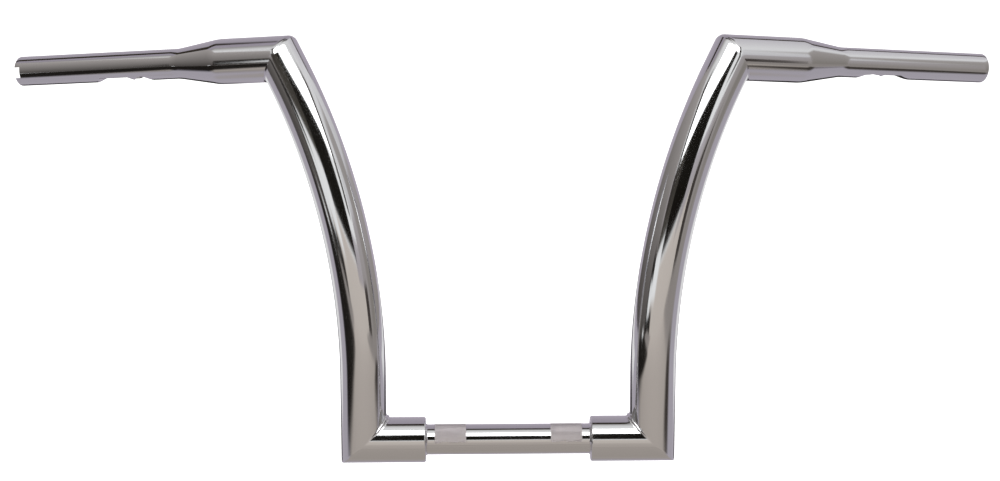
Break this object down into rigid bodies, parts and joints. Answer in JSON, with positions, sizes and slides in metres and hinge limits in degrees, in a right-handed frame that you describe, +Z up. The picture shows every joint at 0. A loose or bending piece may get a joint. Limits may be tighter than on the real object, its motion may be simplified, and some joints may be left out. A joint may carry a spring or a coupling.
{
  "type": "motorcycle handlebar",
  "caption": "Tall chrome-plated motorcycle handlebar welded from fat mitred tube, with a knurled clamp section and grips swept back.",
  "frame": {"origin": "middle of the clamp tube, on its axis", "axes": "+X along the clamp tube to the rider's left, +Y back to the rider, +Z up along the feet of the risers"},
  "size_m": [0.8493, 0.1747, 0.3547],
  "materials": {
    "chrome_tube": "polished chrome plate, knurled at the two clamp seats",
    "chrome_weld": "dressed weld bead under chrome plate"
  },
  "bodies": {
    "root": {"clamp_tube": "chrome_tube", "left_stub": "chrome_tube", "left_reducer": "chrome_tube", "left_riser": "chrome_tube", "left_grip_tube": "chrome_tube", "right_stub": "chrome_tube", "right_reducer": "chrome_tube", "right_riser": "chrome_tube", "right_grip_tube": "chrome_tube", "left_clamp_weld": "chrome_weld", "left_lower_weld": "chrome_weld", "left_upper_weld": "chrome_weld", "right_clamp_weld": "chrome_weld", "right_lower_weld": "chrome_weld", "right_upper_weld": "chrome_weld"}
  },
  "joints": []
}
